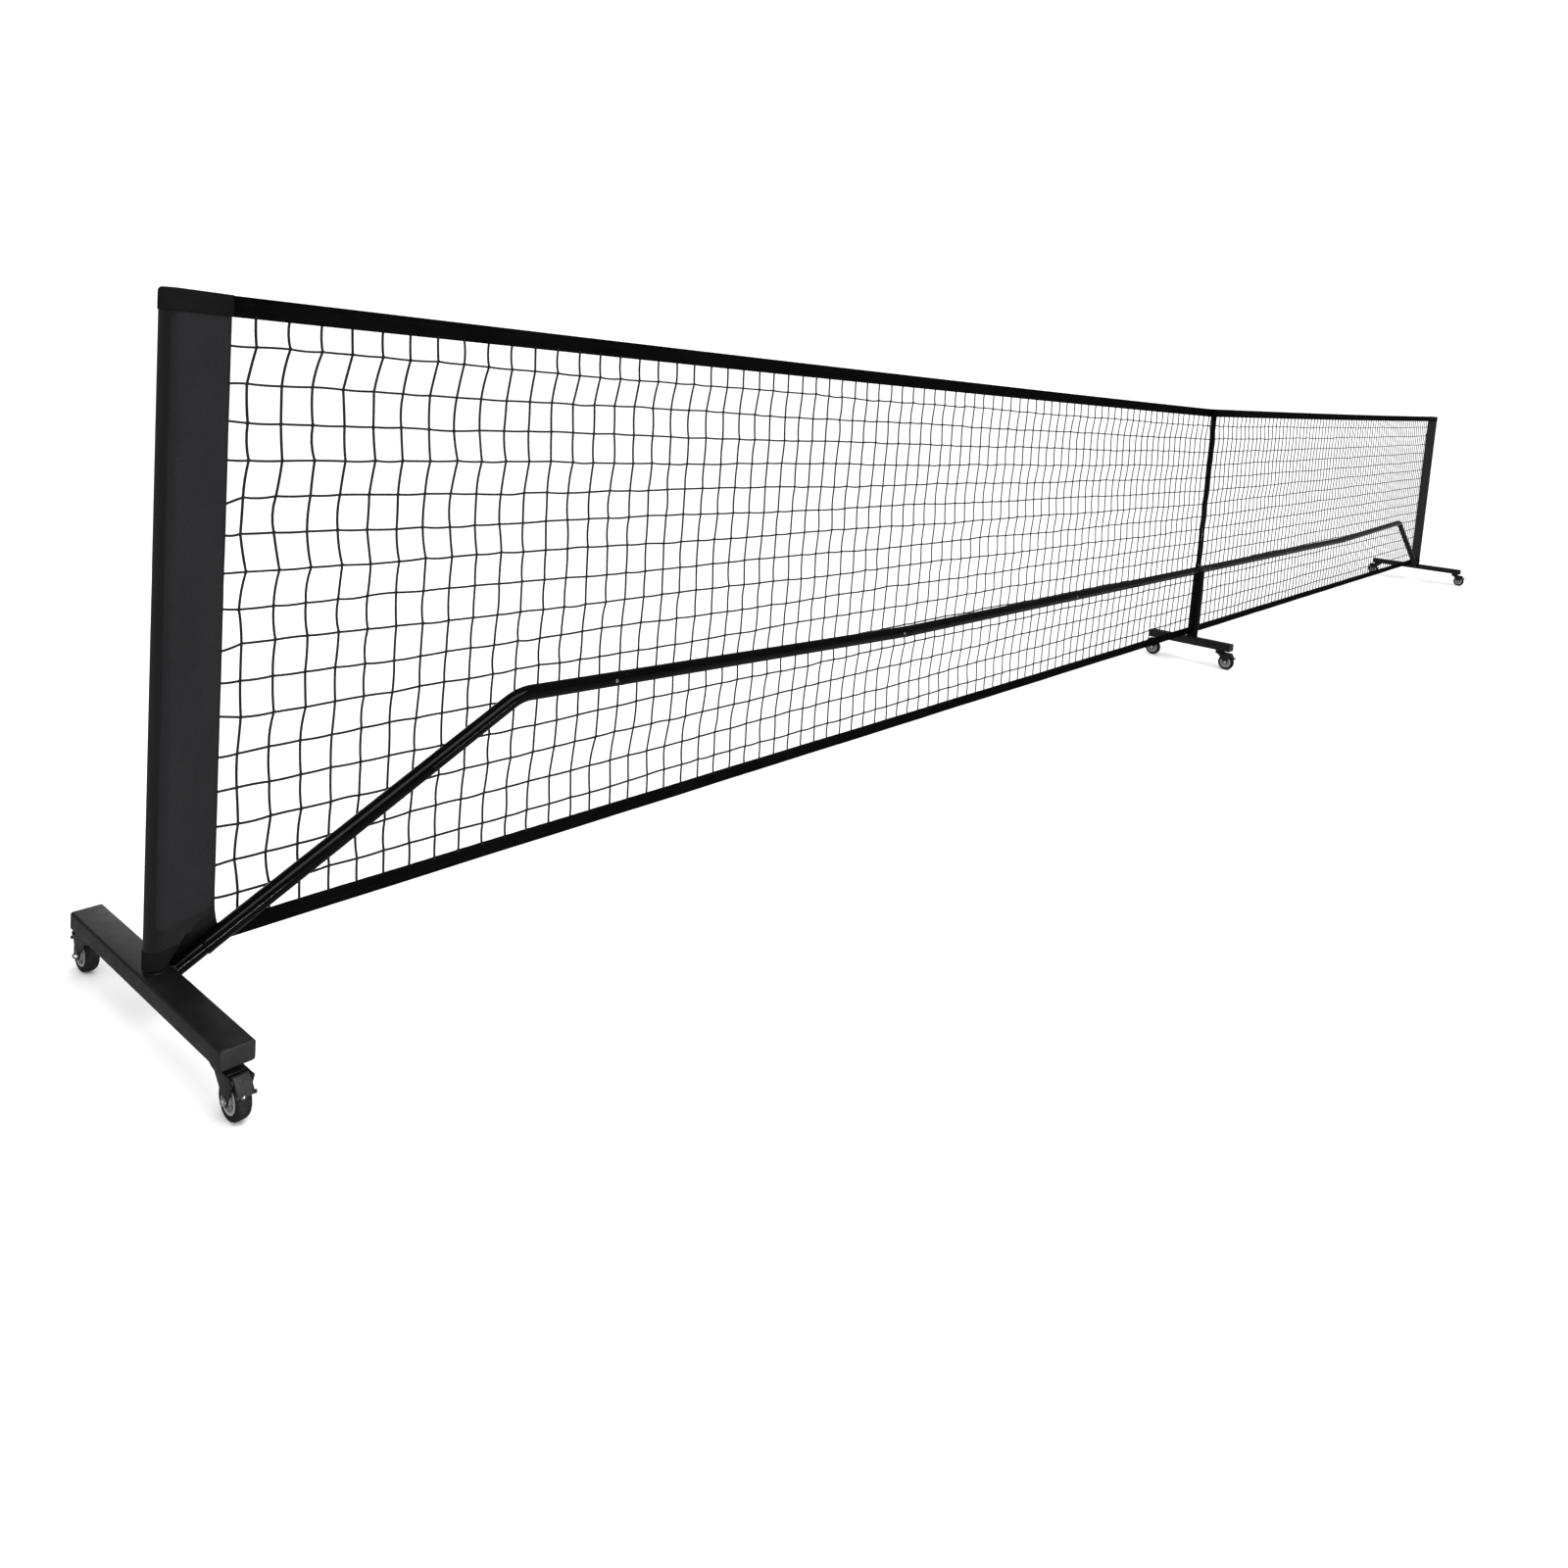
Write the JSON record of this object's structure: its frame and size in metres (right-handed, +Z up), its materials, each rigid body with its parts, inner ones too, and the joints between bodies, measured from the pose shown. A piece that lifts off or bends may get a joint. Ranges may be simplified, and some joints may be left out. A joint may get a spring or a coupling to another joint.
{
  "type": "portable pickleball net",
  "caption": "Portable pickleball net: tape-edged netting in side sleeves on end posts and a centre post, with a push-fit tube arch and T feet on braked swivel casters.",
  "frame": {"origin": "on the ground under the middle of the net, the centre of the underside of the bounding box", "axes": "+X along the net from the left end to the right end, -Y is the front, the side the tube arch is on, +Z up"},
  "size_m": [6.746, 0.4876, 0.914],
  "materials": {
    "foot_paint": "fine textured satin black powder coat",
    "tube_paint": "gloss black enamel",
    "sleeve_fabric": "charcoal woven polyester with black binding",
    "tape_fabric": "matt black woven webbing",
    "net_cord": "knotted black polyethylene twine",
    "caster_steel": "black coated pressed steel, satin",
    "pedal_plastic": "dark grey moulded nylon",
    "hub_plastic": "mid grey moulded nylon",
    "tyre_rubber": "black rubber, slightly worn",
    "button_steel": "bare stainless steel"
  },
  "bodies": {
    "frame": {"left_base": "foot_paint", "left_post": "tube_paint", "left_elbow_tube": "tube_paint", "left_arch_tube_1": "tube_paint", "left_arch_tube_2": "tube_paint", "left_arch_tube_3": "tube_paint", "left_sleeve": "sleeve_fabric", "right_base": "foot_paint", "right_post": "tube_paint", "right_elbow_tube": "tube_paint", "right_arch_tube_1": "tube_paint", "right_arch_tube_2": "tube_paint", "right_arch_tube_3": "tube_paint", "right_sleeve": "sleeve_fabric", "center_base": "foot_paint", "center_lower_post": "tube_paint", "center_upper_post": "tube_paint", "center_pocket": "tape_fabric", "netting": "net_cord", "top_tape": "tape_fabric", "bottom_tape": "tape_fabric", "left_front_caster_plate": "caster_steel", "left_back_caster_plate": "caster_steel", "center_front_caster_plate": "caster_steel", "center_back_caster_plate": "caster_steel", "right_front_caster_plate": "caster_steel", "right_back_caster_plate": "caster_steel"},
    "left_front_caster_fork": {"left_front_caster_fork": "caster_steel"},
    "left_front_caster_wheel": {"left_front_caster_hub": "hub_plastic", "left_front_caster_tyre": "tyre_rubber"},
    "left_front_caster_pedal": {"left_front_caster_pedal": "pedal_plastic"},
    "left_back_caster_fork": {"left_back_caster_fork": "caster_steel"},
    "left_back_caster_wheel": {"left_back_caster_hub": "hub_plastic", "left_back_caster_tyre": "tyre_rubber"},
    "left_back_caster_pedal": {"left_back_caster_pedal": "pedal_plastic"},
    "center_front_caster_fork": {"center_front_caster_fork": "caster_steel"},
    "center_front_caster_wheel": {"center_front_caster_hub": "hub_plastic", "center_front_caster_tyre": "tyre_rubber"},
    "center_front_caster_pedal": {"center_front_caster_pedal": "pedal_plastic"},
    "center_back_caster_fork": {"center_back_caster_fork": "caster_steel"},
    "center_back_caster_wheel": {"center_back_caster_hub": "hub_plastic", "center_back_caster_tyre": "tyre_rubber"},
    "center_back_caster_pedal": {"center_back_caster_pedal": "pedal_plastic"},
    "right_front_caster_fork": {"right_front_caster_fork": "caster_steel"},
    "right_front_caster_wheel": {"right_front_caster_hub": "hub_plastic", "right_front_caster_tyre": "tyre_rubber"},
    "right_front_caster_pedal": {"right_front_caster_pedal": "pedal_plastic"},
    "right_back_caster_fork": {"right_back_caster_fork": "caster_steel"},
    "right_back_caster_wheel": {"right_back_caster_hub": "hub_plastic", "right_back_caster_tyre": "tyre_rubber"},
    "right_back_caster_pedal": {"right_back_caster_pedal": "pedal_plastic"},
    "left_snap_button_1": {"left_snap_button_1": "button_steel"},
    "left_snap_button_2": {"left_snap_button_2": "button_steel"},
    "left_snap_button_3": {"left_snap_button_3": "button_steel"},
    "left_snap_button_4": {"left_snap_button_4": "button_steel"},
    "right_snap_button_1": {"right_snap_button_1": "button_steel"},
    "right_snap_button_2": {"right_snap_button_2": "button_steel"},
    "right_snap_button_3": {"right_snap_button_3": "button_steel"},
    "right_snap_button_4": {"right_snap_button_4": "button_steel"}
  },
  "joints": [
    {"name": "left_front_caster_swivel", "type": "hinge", "parent": "frame", "child": "left_front_caster_fork", "pos_m": [-3.353, -0.195, 0.054], "axis": [0, 0, 1], "continuous": true},
    {"name": "left_front_caster_roll", "type": "hinge", "parent": "left_front_caster_fork", "child": "left_front_caster_wheel", "pos_m": [-3.353, -0.217, 0.025], "axis": [1, 0, 0], "continuous": true},
    {"name": "left_front_caster_brake", "type": "hinge", "parent": "left_front_caster_fork", "child": "left_front_caster_pedal", "pos_m": [-3.353, -0.2295, 0.0515], "axis": [1, 0, 0], "range_deg": [0, 8]},
    {"name": "left_back_caster_swivel", "type": "hinge", "parent": "frame", "child": "left_back_caster_fork", "pos_m": [-3.353, 0.195, 0.054], "axis": [0, 0, 1], "continuous": true},
    {"name": "left_back_caster_roll", "type": "hinge", "parent": "left_back_caster_fork", "child": "left_back_caster_wheel", "pos_m": [-3.353, 0.217, 0.025], "axis": [1, 0, 0], "continuous": true},
    {"name": "left_back_caster_brake", "type": "hinge", "parent": "left_back_caster_fork", "child": "left_back_caster_pedal", "pos_m": [-3.353, 0.2295, 0.0515], "axis": [-1, 0, 0], "range_deg": [0, 8]},
    {"name": "center_front_caster_swivel", "type": "hinge", "parent": "frame", "child": "center_front_caster_fork", "pos_m": [0, -0.105, 0.054], "axis": [0, 0, 1], "continuous": true},
    {"name": "center_front_caster_roll", "type": "hinge", "parent": "center_front_caster_fork", "child": "center_front_caster_wheel", "pos_m": [0, -0.127, 0.025], "axis": [1, 0, 0], "continuous": true},
    {"name": "center_front_caster_brake", "type": "hinge", "parent": "center_front_caster_fork", "child": "center_front_caster_pedal", "pos_m": [0, -0.1395, 0.0515], "axis": [1, 0, 0], "range_deg": [0, 8]},
    {"name": "center_back_caster_swivel", "type": "hinge", "parent": "frame", "child": "center_back_caster_fork", "pos_m": [0, 0.105, 0.054], "axis": [0, 0, 1], "continuous": true},
    {"name": "center_back_caster_roll", "type": "hinge", "parent": "center_back_caster_fork", "child": "center_back_caster_wheel", "pos_m": [0, 0.127, 0.025], "axis": [1, 0, 0], "continuous": true},
    {"name": "center_back_caster_brake", "type": "hinge", "parent": "center_back_caster_fork", "child": "center_back_caster_pedal", "pos_m": [0, 0.1395, 0.0515], "axis": [-1, 0, 0], "range_deg": [0, 8]},
    {"name": "right_front_caster_swivel", "type": "hinge", "parent": "frame", "child": "right_front_caster_fork", "pos_m": [3.353, -0.195, 0.054], "axis": [0, 0, 1], "continuous": true},
    {"name": "right_front_caster_roll", "type": "hinge", "parent": "right_front_caster_fork", "child": "right_front_caster_wheel", "pos_m": [3.353, -0.217, 0.025], "axis": [1, 0, 0], "continuous": true},
    {"name": "right_front_caster_brake", "type": "hinge", "parent": "right_front_caster_fork", "child": "right_front_caster_pedal", "pos_m": [3.353, -0.2295, 0.0515], "axis": [1, 0, 0], "range_deg": [0, 8]},
    {"name": "right_back_caster_swivel", "type": "hinge", "parent": "frame", "child": "right_back_caster_fork", "pos_m": [3.353, 0.195, 0.054], "axis": [0, 0, 1], "continuous": true},
    {"name": "right_back_caster_roll", "type": "hinge", "parent": "right_back_caster_fork", "child": "right_back_caster_wheel", "pos_m": [3.353, 0.217, 0.025], "axis": [1, 0, 0], "continuous": true},
    {"name": "right_back_caster_brake", "type": "hinge", "parent": "right_back_caster_fork", "child": "right_back_caster_pedal", "pos_m": [3.353, 0.2295, 0.0515], "axis": [-1, 0, 0], "range_deg": [0, 8]},
    {"name": "left_snap_button_1_press", "type": "slide", "parent": "frame", "child": "left_snap_button_1", "axis": [0, 1, 0], "range_m": [0, 0.0042], "stiffness_N_per_m": 1500},
    {"name": "left_snap_button_2_press", "type": "slide", "parent": "frame", "child": "left_snap_button_2", "axis": [0, 1, 0], "range_m": [0, 0.0042], "stiffness_N_per_m": 1500},
    {"name": "left_snap_button_3_press", "type": "slide", "parent": "frame", "child": "left_snap_button_3", "axis": [0, 1, 0], "range_m": [0, 0.0042], "stiffness_N_per_m": 1500},
    {"name": "left_snap_button_4_press", "type": "slide", "parent": "frame", "child": "left_snap_button_4", "axis": [0, 1, 0], "range_m": [0, 0.0042], "stiffness_N_per_m": 1500},
    {"name": "right_snap_button_1_press", "type": "slide", "parent": "frame", "child": "right_snap_button_1", "axis": [0, 1, 0], "range_m": [0, 0.0042], "stiffness_N_per_m": 1500},
    {"name": "right_snap_button_2_press", "type": "slide", "parent": "frame", "child": "right_snap_button_2", "axis": [0, 1, 0], "range_m": [0, 0.0042], "stiffness_N_per_m": 1500},
    {"name": "right_snap_button_3_press", "type": "slide", "parent": "frame", "child": "right_snap_button_3", "axis": [0, 1, 0], "range_m": [0, 0.0042], "stiffness_N_per_m": 1500},
    {"name": "right_snap_button_4_press", "type": "slide", "parent": "frame", "child": "right_snap_button_4", "axis": [0, 1, 0], "range_m": [0, 0.0042], "stiffness_N_per_m": 1500}
  ]
}
